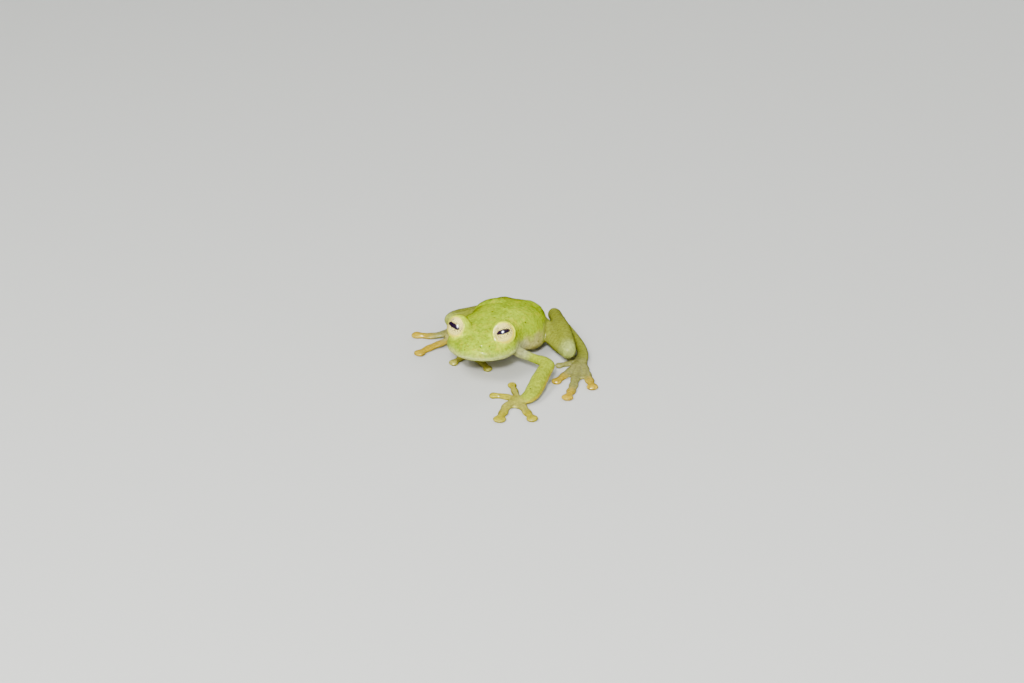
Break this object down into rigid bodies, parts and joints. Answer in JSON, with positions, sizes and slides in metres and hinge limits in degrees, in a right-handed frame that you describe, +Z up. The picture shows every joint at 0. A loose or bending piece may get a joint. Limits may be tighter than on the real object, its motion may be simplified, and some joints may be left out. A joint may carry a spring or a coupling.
{
  "type": "glass frog",
  "caption": "Still, life-size glass frog that sits low with its head up, its hands and feet spread and disc-tipped toes flat on the floor.",
  "frame": {"origin": "bottom centre of the bounding box, on the floor the frog sits on", "axes": "+Z up; the frog faces -Y and its left side is at +X"},
  "size_m": [0.0274, 0.0288, 0.0079],
  "materials": {
    "skin": "moist green skin",
    "limb_skin": "moist translucent skin",
    "eye": "wet gloss"
  },
  "bodies": {
    "root": {"head": "skin", "torso": "skin", "upper_arm_left": "limb_skin", "forearm_left": "limb_skin", "hand_left": "limb_skin", "upper_arm_right": "limb_skin", "forearm_right": "limb_skin", "hand_right": "limb_skin", "thigh_left": "limb_skin", "shank_left": "limb_skin", "tarsus_left": "limb_skin", "foot_left": "limb_skin", "thigh_right": "limb_skin", "shank_right": "limb_skin", "tarsus_right": "limb_skin", "foot_right": "limb_skin", "eye_left": "eye", "eye_right": "eye"}
  },
  "joints": []
}
